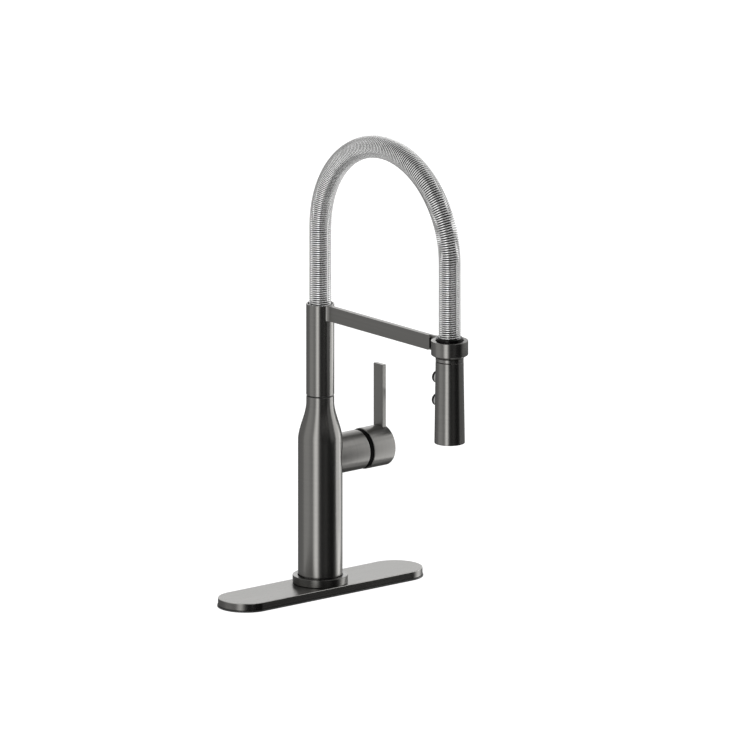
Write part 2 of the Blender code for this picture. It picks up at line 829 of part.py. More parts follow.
def make_buttons(head_axis):
    """Each button with its bezel and return spring, seated on the rear of the shell."""
    for name, height in BUTTON_HEIGHTS.items():
        at = (0, -REACH, height)
        surface = head_radius(height)
        bezel = tube(
            f"{name}_bezel", BEZEL_R, BUTTON_R + 0.0002, surface - 0.0020,
            surface + BEZEL_STAND, "steel", "Y", at, SMALL_STEPS,
        )
        crown = surface + BUTTON_STAND
        button = turned(
            f"{name}_button",
            [
                (0.0, crown),
                (BUTTON_R * 0.62, crown - 0.0006),
                (BUTTON_R * 0.93, crown - 0.0014),
                (BUTTON_R, crown - 0.0026),
                (BUTTON_R, surface - 0.0030),
                (0.0, surface - 0.0030),
            ],
            "black_rubber", axis="Y", at=at, steps=SMALL_STEPS,
        )
        spring = tube(
            f"{name}_button_spring", 0.0029, 0.0019, 0.0063, surface - 0.0033, "steel", "Y",
            at, 16,
        )
        hang(head_axis, bezel, spring)
        hang(pivot(f"{name}_button_axis", (0, -REACH + surface, height)), button)


def make_spray_head():
    pieces = [make_head_shell(), *make_head_core(), *make_nozzles()]
    head_axis = pivot("head_axis", (0, -REACH, HEAD_TOP))
    hang(head_axis, *pieces)
    make_buttons(head_axis)


clear_scene()
PARTS = collection("spring_arch_faucet")
CUTTERS = collection("cutters")
make_deck_plate()
make_body()
make_valve_core()
make_inlets()
make_swivel()
make_handle(make_cartridge())
make_hose_end(make_spout())
make_spray_head()
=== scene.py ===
import math

import bmesh
import bpy
from mathutils import Matrix, Vector


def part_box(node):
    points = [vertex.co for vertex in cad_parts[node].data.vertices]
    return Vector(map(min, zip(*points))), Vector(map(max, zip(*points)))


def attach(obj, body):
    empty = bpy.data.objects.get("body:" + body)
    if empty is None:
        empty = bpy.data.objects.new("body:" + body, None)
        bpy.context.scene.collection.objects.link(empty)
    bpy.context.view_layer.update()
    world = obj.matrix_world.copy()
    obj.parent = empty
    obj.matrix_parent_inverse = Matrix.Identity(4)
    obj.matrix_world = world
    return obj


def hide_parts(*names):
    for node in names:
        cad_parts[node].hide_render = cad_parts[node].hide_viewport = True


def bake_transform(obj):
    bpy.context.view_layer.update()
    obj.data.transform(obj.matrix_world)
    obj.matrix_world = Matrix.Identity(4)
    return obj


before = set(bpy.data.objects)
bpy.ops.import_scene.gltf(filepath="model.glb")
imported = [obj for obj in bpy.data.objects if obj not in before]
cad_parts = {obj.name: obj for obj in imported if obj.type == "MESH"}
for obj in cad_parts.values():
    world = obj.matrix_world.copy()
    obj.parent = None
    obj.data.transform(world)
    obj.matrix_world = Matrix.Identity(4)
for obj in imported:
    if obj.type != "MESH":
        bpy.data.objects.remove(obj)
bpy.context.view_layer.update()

# Shared sizes, in metres
TURN_STEPS = 128
SMALL_STEPS = 64
CUT_MARGIN = 0.004
HAIRLINE = 0.00005
SOFT_EDGE = 0.0005
CRISP_EDGE = 0.0003
PLAY = 0.0003

# Deck plate
PLATE_WALL = 0.0010
PLATE_EDGE = 0.0007
DECK_HOLE_R = 0.0170
UNDERLAY_HEIGHT = 0.0018
RIB_INSET = 0.0021
RIB_ROOT = 0.0010
GASKET_OUTER_INSET = 0.0040
GASKET_INNER_INSET = 0.0058
GASKET_DEPTH = 0.0008
LAND_TOP = 0.0020

# Body and barrel
SHOULDER_LOW = 0.1565
SHOULDER_HIGH = 0.1965
SHOULDER_RINGS = 48
NECK_R = 0.0141
BODY_WALL = 0.0016
FOOT_GROOVE = 0.0010
BARREL_BORE = 0.0176
BARREL_ROOT = 0.004
BARREL_EDGE = 0.0010
SADDLE_EDGE = 0.0009
WASHER_BORE = 0.0113

# Handle
SEAL_BORE = 0.0179
SEAL_GROOVE = 0.0006
CAP_BORE = 0.0178
CAP_EDGE = 0.0007
CAP_FLOOR = 0.0720
CAP_BOSS_R = 0.0095
CAP_BOSS_END = 0.0600
STEM_SOCKET_START = 0.05
LEVER_EDGE = 0.0006

# Arm and dock ring
ARM_DEPTH = 0.0155
ARM_HALF = 0.00265
ROOT_FILLET = 0.0052
RING_FILLET = 0.0164
RING_SINK = 0.00004
ARM_EDGE = 0.0004
RING_TAPER_TOP = 0.2837
RING_FOOT_R = 0.0144
RING_BORE = 0.01445
RING_LIP_BORE = 0.01385
RING_LIP_TOP = 0.2845
NECK_LENGTH = 0.0098
NECK_SIDE_STEP = 0.0021
NECK_UNDER_STEP = 0.0022
NECK_CORNER = 0.0034
CUT_HALF_WIDTH = 0.02

# Spout tube, cup and collar
TUBE_BORE = 0.0126
HOSE_BORE = 0.0061
CUP_BORE = 0.0117
CUP_FLOOR = 0.2832

# Spray head
HEAD_TOP_R = 0.0142
HEAD_BOTTOM_R = 0.01545
HEAD_WALL = 0.0017
HEAD_TOP_WALL = 0.0050
DOME_RISE = 0.0030
DOME_RINGS = 14
NOZZLE_RINGS = ((0.0084, 8), (0.0113, 12))
NOZZLE_SIDES = 20
NOZZLE_R = 0.0009
NOZZLE_HOLE_R = 0.0012
NOZZLE_WALL = 0.00028
NOZZLE_DEPTH = 0.0008
FACE_BORE = 0.0063
MAT_R = 0.0130
MAT_BORE = 0.0066
MAT_THICKNESS = 0.0014
AERATOR_MOUTH_R = 0.0050
AERATOR_BORE = 0.0025
AERATOR_RECESS = 0.0016

# The coil
WIRE_R = 0.00076
COIL_R = 0.01056
COIL_PITCH = 0.00228
COIL_STEPS = 28
COIL_TUCK = 0.0002
SPLIT_TURN = math.radians(135.0)
HOSE_STEP = 0.004

# Studio
VIEW_TURN = math.radians(40.27)
VIEW_RISE = math.radians(14.07)
AIM_RIGHT, AIM_UP, AIM_BACK = 0.05510, 0.2169, 0.1236
CAMERA_DISTANCE = 8.0
FRAME_WIDTH = 0.7545
FLOOR_GAP = 0.0002
FLOOR_SIZE = 60.0
FLOOR_GREY = 0.30
FLOOR_GLOW = 0.92
SKY_STRENGTH = 4.0


def lowest(node):
    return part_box(node)[0]


def highest(node):
    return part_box(node)[1]


def middle(node):
    return (lowest(node) + highest(node)) / 2


# Post, barrel and head axes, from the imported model
POST = Vector((middle("spout_tube").x, middle("spout_tube").y, 0.0))
HEAD_AXIS = Vector((middle("head_collar").x, middle("head_collar").y, 0.0))
BARREL_AXIS = Vector((0.0, middle("handle_cap").y, middle("handle_cap").z))
REACH = POST.y - HEAD_AXIS.y
ARCH_R = REACH / 2
ARCH_TOP = highest("spring_rear").z
COIL_ENVELOPE_R = highest("spring_rear").x
ARCH_CENTRE_Z = ARCH_TOP - ARCH_R - COIL_ENVELOPE_R


# ---------------------------------------------------------------- mesh tools


def placed(name, data):
    """A new object at the origin, in the scene."""
    made = bpy.data.objects.new(name, data)
    bpy.context.scene.collection.objects.link(made)
    return made


def mesh_from(bm, name):
    """A mesh from a bmesh, which is used up."""
    mesh = bpy.data.meshes.new(name)
    bm.to_mesh(mesh)
    bm.free()
    return mesh


def bmesh_from(mesh):
    """A bmesh from a mesh, which is used up."""
    bm = bmesh.new()
    bm.from_mesh(mesh)
    bpy.data.meshes.remove(mesh)
    return bm


def evaluated_mesh(owner):
    bpy.context.view_layer.update()
    graph = bpy.context.evaluated_depsgraph_get()
    return bpy.data.meshes.new_from_object(owner.evaluated_get(graph))


def smooth_object(bm, name, sharp):
    mesh = mesh_from(bm, name)
    mesh.shade_smooth()
    mesh.set_sharp_from_angle(angle=math.radians(sharp))
    return placed(name, mesh)


def piece_from(bm, name, sharp=32.0):
    """A finished piece at the origin from a bmesh, smooth but for its sharp edges."""
    piece = smooth_object(bm, name, sharp)
    weighted = piece.modifiers.new("even_shading", "WEIGHTED_NORMAL")
    weighted.keep_sharp = True
    weighted.weight = 80
    return piece


def close_up(bm):
    bmesh.ops.remove_doubles(bm, verts=bm.verts, dist=0.000002)
    bmesh.ops.recalc_face_normals(bm, faces=bm.faces)


def round_edges(bm, size, segments=3, least=30.0, where=None):
    """Rounds the edges that turn by more than least degrees."""
    edges = []
    for edge in bm.edges:
        if len(edge.link_faces) != 2:
            continue
        if math.degrees(edge.calc_face_angle(0.0)) < least:
            continue
        if where and not where(edge):
            continue
        edges.append(edge)
    bmesh.ops.bevel(
        bm, geom=edges, offset=size, segments=segments, profile=0.5,
        affect="EDGES", material=-1, clamp_overlap=True,
    )


def turn_shape(bm, degrees, axis):
    turn = Matrix.Rotation(math.radians(degrees), 3, axis)
    bmesh.ops.rotate(bm, cent=(0, 0, 0), matrix=turn, verts=bm.verts)


def place_on_axis(bm, axis, at):
    """Turns a shape made on Z so that it lies on another axis, and moves it to its place."""
    if axis == "X":
        turn_shape(bm, 90, "Y")
    if axis == "Y":
        turn_shape(bm, -90, "X")
    bmesh.ops.translate(bm, vec=at, verts=bm.verts)


def spun(profile, steps=TURN_STEPS):
    """A bmesh of revolution about Z from (radius, height) pairs, a ring unless it ends on the axis."""
    bm = bmesh.new()
    points = [bm.verts.new((radius, 0.0, height)) for radius, height in profile]
    edges = [bm.edges.new(pair) for pair in zip(points, points[1:])]
    on_axis = profile[0][0] == 0.0 and profile[-1][0] == 0.0
    if not on_axis:
        edges.append(bm.edges.new((points[-1], points[0])))
    bmesh.ops.spin(
        bm, geom=points + edges, cent=(0, 0, 0), axis=(0, 0, 1), dvec=(0, 0, 0),
        angle=math.tau, steps=steps, use_merge=True, use_duplicate=False,
    )
    close_up(bm)
    return bm


def block(low, high):
    bm = bmesh.new()
    bmesh.ops.create_cube(bm, size=1.0)
    bmesh.ops.scale(bm, vec=Vector(high) - Vector(low), verts=bm.verts)
    bmesh.ops.translate(bm, vec=(Vector(high) + Vector(low)) / 2, verts=bm.verts)
    return bm


def turned(name, profile, axis="Z", at=(0, 0, 0), steps=TURN_STEPS, edge=CRISP_EDGE, segments=3):
    bm = spun(profile, steps)
    if edge:
        round_edges(bm, edge, segments)
    place_on_axis(bm, axis, at)
    return piece_from(bm, name)


def cutter(bm, name):
    """A guide solid for a cut. It is removed when the cut is done."""
    return placed(name, mesh_from(bm, name))


def round_cutter(radius, low, high, axis="Z", at=(0, 0, 0), steps=TURN_STEPS):
    bm = spun([(0.0, low), (radius, low), (radius, high), (0.0, high)], steps)
    place_on_axis(bm, axis, at)
    return cutter(bm, "round_cutter")


def box_cutter(low, high):
    return cutter(block(low, high), "box_cutter")


def carved(piece, guides, how="DIFFERENCE", sharp=32.0, edge=0.0):
    """The piece with the guides cut out of it or joined to it, for good."""
    for guide in guides:
        step = piece.modifiers.new("carve", "BOOLEAN")
        step.operation = how
        step.solver = "EXACT"
        step.object = guide
    weighted = piece.modifiers.get("even_shading")
    if weighted:
        piece.modifiers.remove(weighted)
    made = evaluated_mesh(piece)
    name = piece.name
    for guide in guides:
        bpy.data.objects.remove(guide)
    bpy.data.objects.remove(piece)
    bm = bmesh_from(made)
    bmesh.ops.remove_doubles(bm, verts=bm.verts, dist=0.000004)
    bmesh.ops.dissolve_degenerate(bm, edges=bm.edges, dist=0.000004)
    if edge:
        round_edges(bm, edge, 2, 50.0)
    return piece_from(bm, name, sharp)


def shade_inside(piece, radius, at):
    """The faces nearer to the axis than the radius get painted shade, a near-black matt material that
    stands in for the shade inside a bore.
    """
    piece.data.materials.append(BORE_SHADE)
    for face in piece.data.polygons:
        if (face.center - at).xy.length < radius:
            face.material_index = len(piece.data.materials) - 1


def set_piece(piece, body, slot, material, *nodes):
    """Gives a finished piece its material and its body, and hides the nodes that it stands for."""
    piece.data.materials.clear()
    piece.data.materials.append(material)
    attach(piece, body)
    if nodes:
        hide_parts(*nodes)
    return piece


# ---------------------------------------------------------------- materials


class NodeTree:
    """A node tree, with short words for its nodes and links."""

    def __init__(self, owner):
        owner.use_nodes = True
        self.tree = owner.node_tree

    def node(self, kind, **settings):
        made = self.tree.nodes.new(kind)
        for key, value in settings.items():
            setattr(made, key, value)
        return made

    def link(self, source, target):
        self.tree.links.new(source, target)


class Finish(NodeTree):
    """A material, with the patterns and reliefs that the finishes share."""

    def __init__(self, name, colour, metallic, roughness):
        self.material = bpy.data.materials.new(name)
        super().__init__(self.material)
        self.shader = self.tree.nodes["Principled BSDF"]
        self.shader.inputs["Base Color"].default_value = (*colour, 1.0)
        self.shader.inputs["Metallic"].default_value = metallic
        self.shader.inputs["Roughness"].default_value = roughness

    def pattern(self, scale, detail=2.0, rough=0.5, size=1.0):
        """Noise stretched by a scale per axis, per metre."""
        place = self.node("ShaderNodeTexCoord")
        mapping = self.node("ShaderNodeMapping")
        mapping.inputs["Scale"].default_value = scale
        noise = self.node("ShaderNodeTexNoise")
        noise.inputs["Scale"].default_value = size
        noise.inputs["Detail"].default_value = detail
        noise.inputs["Roughness"].default_value = rough
        self.link(place.outputs["Object"], mapping.inputs["Vector"])
        self.link(mapping.outputs["Vector"], noise.inputs["Vector"])
        return noise.outputs["Fac"]

    def spread(self, source, low, high, least=0.3, most=0.7):
        span = self.node("ShaderNodeMapRange")
        span.inputs["From Min"].default_value = least
        span.inputs["From Max"].default_value = most
        span.inputs["To Min"].default_value = low
        span.inputs["To Max"].default_value = high
        self.link(source, span.inputs["Value"])
        return span.outputs["Result"]

    def tones(self, source, dark, light, least=0.3, most=0.7):
        ramp = self.node("ShaderNodeValToRGB")
        ramp.color_ramp.elements[0].position = least
        ramp.color_ramp.elements[0].color = (*dark, 1.0)
        ramp.color_ramp.elements[1].position = most
        ramp.color_ramp.elements[1].color = (*light, 1.0)
        self.link(source, ramp.inputs["Fac"])
        self.link(ramp.outputs["Color"], self.shader.inputs["Base Color"])

    def relief(self, source, strength, depth, under=None):
        bump = self.node("ShaderNodeBump")
        bump.inputs["Strength"].default_value = strength
        bump.inputs["Distance"].default_value = depth
        self.link(source, bump.inputs["Height"])
        if under:
            self.link(under, bump.inputs["Normal"])
        self.link(bump.outputs["Normal"], self.shader.inputs["Normal"])
        return bump.outputs["Normal"]


# How fine brush lines are, per metre, along them and across them
ALONG = 26.0
ACROSS = 3600.0
EVEN_GRAIN = (420, 420, 420)


class Brush:
    """Which way a surface is brushed: round an axis at a place, or straight along a line."""

    def __init__(self, grain, across, place=None, level=(1, 1, 1)):
        self.grain = grain
        self.across = across
        self.place = place
        self.level = level


def stretch_along(finish, brush):
    """Points the shader's tangent across the brush lines, where a highlight is drawn out."""
    turn = finish.node("ShaderNodeVectorTransform", vector_type="VECTOR")
    turn.convert_from = "OBJECT"
    turn.convert_to = "WORLD"
    turn.inputs["Vector"].default_value = brush.across
    if brush.place:
        place = finish.node("ShaderNodeTexCoord")
        steps = (
            ("SUBTRACT", brush.place), ("MULTIPLY", brush.level),
            ("NORMALIZE", None), ("ADD", brush.across),
        )
        reached = place.outputs["Object"]
        for operation, amount in steps:
            step = finish.node("ShaderNodeVectorMath", operation=operation)
            finish.link(reached, step.inputs[0])
            if amount:
                step.inputs[1].default_value = amount
            reached = step.outputs["Vector"]
        finish.link(reached, turn.inputs["Vector"])
    finish.link(turn.outputs["Vector"], finish.shader.inputs["Tangent"])


def brushed(
    name, brush, dark, light, rough_low, rough_high, drawn_out=0.8, depth=0.000006, metallic=1.0,
):
    """Metal brushed one way, with fine lines, broad tone and a highlight drawn out across them."""
    finish = Finish(name, light, metallic, rough_low)
    lines = finish.pattern(brush.grain, 3.0, 0.6)
    bands = finish.pattern([step * 0.12 for step in brush.grain], 3.0, 0.55)
    cloud = finish.pattern((38, 38, 38), 2.0, 0.5)
    finish.tones(bands, dark, light)
    finish.link(finish.spread(lines, rough_low, rough_high), finish.shader.inputs["Roughness"])
    finish.shader.inputs["Anisotropic"].default_value = drawn_out
    if drawn_out:
        stretch_along(finish, brush)
    under = finish.relief(lines, 0.12, depth)
    finish.relief(cloud, 0.06, 0.00008, under)
    return finish.material


STEEL_DARK = (0.196, 0.193, 0.185)
STEEL_LIGHT = (0.211, 0.207, 0.198)
ROUND_POST = Brush((ALONG, ALONG, ACROSS), (0, 0, -1), POST, (1, 1, 0))
ROUND_HEAD = Brush((ALONG, ALONG, ACROSS), (0, 0, -1), HEAD_AXIS, (1, 1, 0))
ROUND_BARREL = Brush((ACROSS, ALONG, ALONG), (-1, 0, 0), BARREL_AXIS, (0, 1, 1))
STRAIGHT_X = Brush((ALONG, ACROSS, ACROSS), (0, 1, -1))
STRAIGHT_Y = Brush((ACROSS, ALONG, ACROSS), (1, 0, -1))
STRAIGHT_Z = Brush((ACROSS, ACROSS, ALONG), (1, -1, 0))


def dark_steel(name, brush, rough_low=0.235, rough_high=0.265, dark=STEEL_DARK, light=STEEL_LIGHT):
    return brushed(name, brush, dark, light, rough_low, rough_high)


def moulded(name, dark, light, rough_low, rough_high, grain=900.0, depth=0.00003, shine=0.5):
    """Moulded plastic or rubber with a fine spark-eroded grain."""
    finish = Finish(name, light, 0.0, rough_high)
    finish.shader.inputs["Specular IOR Level"].default_value = shine
    fine = finish.pattern((grain, grain, grain), 2.0, 0.5)
    broad = finish.pattern((60, 60, 60), 2.0, 0.5)
    finish.tones(broad, dark, light)
    finish.link(finish.spread(broad, rough_low, rough_high), finish.shader.inputs["Roughness"])
    finish.relief(fine, 0.35, depth)
    return finish.material


BODY_STEEL = dark_steel("turned_dark_steel", ROUND_POST)
HEAD_STEEL = dark_steel("head_dark_steel", ROUND_HEAD)
# Painted shade: steel of the same brushed finish painted near-black, for the spring cup and the arm's
# end faces beside the dock ring, standing in for the shade in the gap round the coil.
RECESS_SHADE_STEEL = dark_steel(
    "recess_painted_shade_steel", ROUND_HEAD, 0.22, 0.28, (0.016, 0.016, 0.016), (0.024, 0.024, 0.023)
)
# Painted shade: the base ring's steel is painted about half as bright as the body's, standing in for the
# darker light round its side.
RING_SHADE_STEEL = dark_steel(
    "ring_dark_steel", ROUND_POST, 0.24, 0.30, (0.100, 0.098, 0.094), (0.116, 0.114, 0.108)
)
BARREL_STEEL = dark_steel("barrel_dark_steel", ROUND_BARREL, 0.28, 0.34)
ARM_STEEL = dark_steel("arm_dark_steel", STRAIGHT_Y, 0.28, 0.34)
LEVER_STEEL = dark_steel("lever_dark_steel", STRAIGHT_Z, 0.32, 0.38)
PLATE_STEEL = dark_steel("plate_dark_steel", STRAIGHT_X, 0.26, 0.32)
# Painted shade: a darker copy of the plate's steel for its upright sides, standing in for the shade on
# them.
PLATE_SIDE_SHADE_STEEL = dark_steel(
    "plate_side_dark_steel", STRAIGHT_X, 0.20, 0.26, (0.125, 0.123, 0.118), (0.145, 0.142, 0.136)
)
COIL_STEEL = brushed(
    "polished_spring_wire", Brush(EVEN_GRAIN, (0, 0, -1)), (0.66, 0.66, 0.655),
    (0.77, 0.77, 0.765), 0.19, 0.25, 0.0, 0.000003, 0.85,
)
# Painted highlight: steel about twice as bright as the dark steel and smoother, for rounded rims; the
# extra brightness stands in for the thin bright line along them.
RIM_HIGHLIGHT_STEEL = brushed(
    "rim_painted_highlight_steel", Brush(EVEN_GRAIN, (0, 0, -1)), (0.38, 0.375, 0.36),
    (0.46, 0.455, 0.44), 0.12, 0.18, 0.0, 0.000003,
)
BEZEL_STEEL = brushed(
    "bezel_steel", STRAIGHT_Z, (0.50, 0.50, 0.49), (0.58, 0.58, 0.57), 0.22, 0.30, 0.5,
)
BRIGHT_STEEL = brushed(
    "turned_steel", ROUND_POST, (0.48, 0.48, 0.48), (0.56, 0.56, 0.56), 0.24, 0.36, 0.6,
)
BRASS = brushed(
    "machined_brass", ROUND_POST, (0.56, 0.41, 0.19), (0.68, 0.51, 0.26), 0.28, 0.40, 0.6,
)
BLACK_PLASTIC = moulded(
    "black_moulded_plastic", (0.014, 0.014, 0.014), (0.022, 0.022, 0.022), 0.40, 0.50
)
BUTTON_RUBBER = moulded(
    "button_rubber", (0.002, 0.002, 0.002), (0.004, 0.004, 0.004), 0.40, 0.48, 1400.0, 0.00001, 0.04
)
SEAL_RUBBER = moulded(
    "seal_rubber", (0.0015, 0.0015, 0.0015), (0.003, 0.003, 0.003), 0.50, 0.65, 900.0, 0.00002, 0.04
)
# Painted shade: a near-black matt material for the inner faces of bores, standing in for the shade that
# falls inside them.
BORE_SHADE = moulded(
    "bore_painted_shade", (0.006, 0.006, 0.006), (0.010, 0.010, 0.010), 0.50, 0.62, 900.0, 0.00002, 0.10
)
GREY_PLASTIC = moulded("grey_moulded_plastic", (0.30, 0.30, 0.31), (0.37, 0.37, 0.38), 0.38, 0.50)
CERAMIC = moulded(
    "lapped_ceramic", (0.74, 0.73, 0.70), (0.82, 0.81, 0.78), 0.16, 0.26, 2200.0, 0.00001
)

SLOT_FINISH = {
    "dark_steel": BODY_STEEL,
    "spring_steel": COIL_STEEL,
    "steel": BRIGHT_STEEL,
    "brass": BRASS,
    "black_plastic": BLACK_PLASTIC,
    "black_rubber": SEAL_RUBBER,
    "grey_plastic": GREY_PLASTIC,
    "ceramic": CERAMIC,
}


def finish_packed_nodes():
    """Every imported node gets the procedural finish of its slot."""
    for name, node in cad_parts.items():
        current = node.data.materials[0].name if node.data.materials else ""
        chosen = BLACK_PLASTIC
        for slot, material in SLOT_FINISH.items():
            if slot in current:
                chosen = material
        node.data.materials.clear()
        node.data.materials.append(chosen)


# ---------------------------------------------------------------- deck plate


def oblong(radius, half_length, low, high, steps=TURN_STEPS):
    """A round pulled apart along X, so that its ends stay half round."""
    bm = bmesh.new()
    bmesh.ops.create_cone(
        bm, cap_ends=True, segments=steps, radius1=radius, radius2=radius, depth=high - low,
    )
    bmesh.ops.rotate(
        bm, cent=(0, 0, 0), matrix=Matrix.Rotation(math.pi / steps, 3, "Z"), verts=bm.verts
    )
    bmesh.ops.translate(bm, vec=(0, 0, (low + high) / 2), verts=bm.verts)
    straight = half_length - radius
    for side in (-1, 1):
        end = [vert for vert in bm.verts if vert.co.x * side > 0]
        bmesh.ops.translate(bm, vec=(side * straight, 0, 0), verts=end)
    return bm


def make_deck_plate():
    low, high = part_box("deck_plate")
    bm = oblong(high.y, high.x, low.z, high.z)
    round_edges(
        bm, PLATE_EDGE, 4, where=lambda edge: all(v.co.z > high.z - HAIRLINE for v in edge.verts)
    )
    plate = piece_from(bm, "deck_plate_cover")
    hollow = oblong(high.y - PLATE_WALL, high.x - PLATE_WALL, low.z - CUT_MARGIN, high.z - PLATE_WALL)
    hole = round_cutter(DECK_HOLE_R, low.z - CUT_MARGIN, high.z + CUT_MARGIN)
    plate = carved(plate, [cutter(hollow, "hollow"), hole])
    set_piece(plate, "base", "dark_steel", PLATE_STEEL, "deck_plate")
    plate.data.materials.append(PLATE_SIDE_SHADE_STEEL)
    plate.data.materials.append(RIM_HIGHLIGHT_STEEL)
    # Upright faces get the darker steel of painted shade; the rounded top edge gets the lighter steel of
    # a painted highlight.
    for face in plate.data.polygons:
        if abs(face.normal.z) < 0.2:
            face.material_index = 1
        elif abs(face.normal.z) < 0.9:
            face.material_index = 2

    low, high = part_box("plate_base")

    def inset(amount, bottom, top):
        return oblong(high.y - amount, high.x - amount, bottom, top)

    bm = inset(0.0, 0.0, UNDERLAY_HEIGHT)
    round_edges(bm, CRISP_EDGE, 2)
    base = piece_from(bm, "plate_underlay")
    rib = cutter(inset(RIB_INSET, RIB_ROOT, high.z), "rib")
    base = carved(base, [rib], "UNION")
    land = cutter(inset(GASKET_INNER_INSET, -2 * CUT_MARGIN, LAND_TOP), "land")
    groove = cutter(inset(GASKET_OUTER_INSET, -CUT_MARGIN, GASKET_DEPTH), "gasket_groove")
    hole = round_cutter(DECK_HOLE_R, -CUT_MARGIN, high.z + CUT_MARGIN)
    base = carved(base, [carved(groove, [land]), hole])
    set_piece(base, "base", "black_plastic", BLACK_PLASTIC, "plate_base")

    low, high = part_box("base_ring")
    ring = turned(
        "base_ring_turned",
        [
            (high.x, low.z),
            (high.x, high.z),
            (highest("body_shell").x + PLAY, high.z),
            (highest("body_shell").x + PLAY, low.z),
        ],
        edge=SOFT_EDGE, segments=4,
    )
    # The base ring gets the darkened steel of painted shade.
    set_piece(ring, "base", "dark_steel", RING_SHADE_STEEL, "base_ring")


# ---------------------------------------------------------------- body


def shoulder_radius(height, wide):
    along = (height - SHOULDER_LOW) / (SHOULDER_HIGH - SHOULDER_LOW)
    along = min(max(along, 0.0), 1.0)
    return wide - (wide - NECK_R) * along * along * (3 - 2 * along)


def make_body():
    low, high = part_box("body_shell")
    wide = high.x
    rise = SHOULDER_HIGH - SHOULDER_LOW
    heights = [SHOULDER_LOW + rise * i / SHOULDER_RINGS for i in range(SHOULDER_RINGS + 1)]
    seat = highest("base_ring").z
    outer = [(wide - FOOT_GROOVE, low.z), (wide - FOOT_GROOVE, seat + FOOT_GROOVE)]
    outer.append((wide, seat + FOOT_GROOVE))
    outer += [(shoulder_radius(z, wide), z) for z in heights]
    outer.append((NECK_R, high.z))
    inner = [(radius - BODY_WALL, z) for radius, z in reversed(outer[2:])]
    inner.append((wide - BODY_WALL, low.z))
    bm = spun(outer + inner)
    round_edges(bm, CRISP_EDGE, 3, where=lambda edge: edge.verts[0].co.xy.length > NECK_R - PLAY)
    body = piece_from(bm, "body_bottle")
    socket = round_cutter(BARREL_BORE, 0.0, wide + CUT_MARGIN, "X", BARREL_AXIS)
    body = carved(body, [socket])
    set_piece(body, "base", "dark_steel", BODY_STEEL, "body_shell")

    low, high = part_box("valve_barrel")
    radius = (high.z - low.z) / 2
    barrel = turned(
        "valve_barrel_turned",
        [
            (radius, BARREL_ROOT),
            (radius, high.x),
            (BARREL_BORE, high.x),
            (BARREL_BORE, BARREL_ROOT),
        ],
        "X", BARREL_AXIS, edge=BARREL_EDGE, segments=6,
    )
    saddle = round_cutter(wide + PLAY, low.z - CUT_MARGIN, high.z + CUT_MARGIN)
    barrel = carved(barrel, [saddle], edge=SADDLE_EDGE)
    set_piece(barrel, "base", "dark_steel", BARREL_STEEL, "valve_barrel")
    barrel.data.materials.append(RIM_HIGHLIGHT_STEEL)
    # The barrel's rounded outer end rim gets the lighter steel of a painted highlight.
    for face in barrel.data.polygons:
        if face.center.x > high.x - BARREL_EDGE - 0.0002 and 0.2 < face.normal.x < 0.95:
            face.material_index = 1

    low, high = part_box("swivel_washer")
    washer = turned(
        "swivel_washer_ring",
        [(high.x, low.z), (high.x, high.z), (WASHER_BORE, high.z), (WASHER_BORE, low.z)],
        edge=0.00015, segments=2,
    )
    set_piece(washer, "base", "black_plastic", BLACK_PLASTIC, "swivel_washer")


# ---------------------------------------------------------------- handle


def make_handle():
    low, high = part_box("trim_seal")
    outer = (high.z - low.z) / 2
    fifth = (high.x - low.x) / 5
    ridge = outer - 0.0001
    profile = [(SEAL_BORE, low.x), (ridge, low.x)]
    for i in range(1, 5):
        level = outer - SEAL_GROOVE if i % 2 else ridge
        profile.append((level, low.x + fifth * i))
    profile += [(ridge, high.x), (SEAL_BORE, high.x)]
    seal = turned("handle_trim_seal", profile, "X", BARREL_AXIS, edge=0.0002, segments=3)
    seal.modifiers.clear()
    seal.data.materials.clear()
    seal.data.materials.append(SEAL_RUBBER)
    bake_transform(seal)
    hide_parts("trim_seal")

    low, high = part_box("handle_cap")
    radius = (high.z - low.z) / 2
    cap = turned(
        "handle_cap_turned",
        [
            (0.0, high.x),
            (radius, high.x),
            (radius, low.x),
            (CAP_BORE, low.x),
            (CAP_BORE, CAP_FLOOR),
            (CAP_BOSS_R, CAP_FLOOR),
            (CAP_BOSS_R, CAP_BOSS_END),
            (0.0, CAP_BOSS_END),
        ],
        "X", BARREL_AXIS, edge=CAP_EDGE, segments=4,
    )
    blade_low, blade_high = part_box("handle_lever")
    slot = box_cutter(
        (blade_low.x - PLAY, blade_low.y - PLAY, blade_low.z - PLAY),
        (blade_high.x + PLAY, blade_high.y + PLAY, high.z + CUT_MARGIN),
    )
    stem_low, stem_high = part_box("cartridge_stem")
    socket = box_cutter(
        (STEM_SOCKET_START, stem_low.y - PLAY, stem_low.z - PLAY),
        (stem_high.x + PLAY, stem_high.y + PLAY, stem_high.z + PLAY),
    )
    screw_low, screw_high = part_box("set_screw")
    screw_at = (screw_low.x + screw_high.x) / 2
    screw_r = (screw_high.y - screw_low.y) / 2
    screw_hole = round_cutter(
        screw_r + PLAY, low.z - CUT_MARGIN, BARREL_AXIS.z, "Z", (screw_at, 0, 0), SMALL_STEPS
    )
    cap = carved(cap, [slot, socket, screw_hole])
    set_piece(cap, "handle", "dark_steel", BARREL_STEEL, "handle_cap")

    bm = block(blade_low, blade_high)
    round_edges(bm, LEVER_EDGE, 5)
    lever = piece_from(bm, "handle_lever_bar")
    set_piece(lever, "handle", "dark_steel", LEVER_STEEL, "handle_lever")

    low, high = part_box("screw_plug")
    radius = (high.y - low.y) / 2
    plug = turned(
        "screw_plug_disc", [(0.0, low.z), (radius, low.z), (radius, high.z), (0.0, high.z)],
        at=(screw_at, 0, 0), steps=SMALL_STEPS, edge=0.0002,
    )
    set_piece(plug, "handle", "black_plastic", BLACK_PLASTIC, "screw_plug")


# ---------------------------------------------------------------- spout


def fillet_centre(radius, half_width, fillet):
    """How far from the round's centre, along the bar, a fillet between round and bar lies."""
    return math.sqrt((radius + fillet) ** 2 - (half_width + fillet) ** 2)


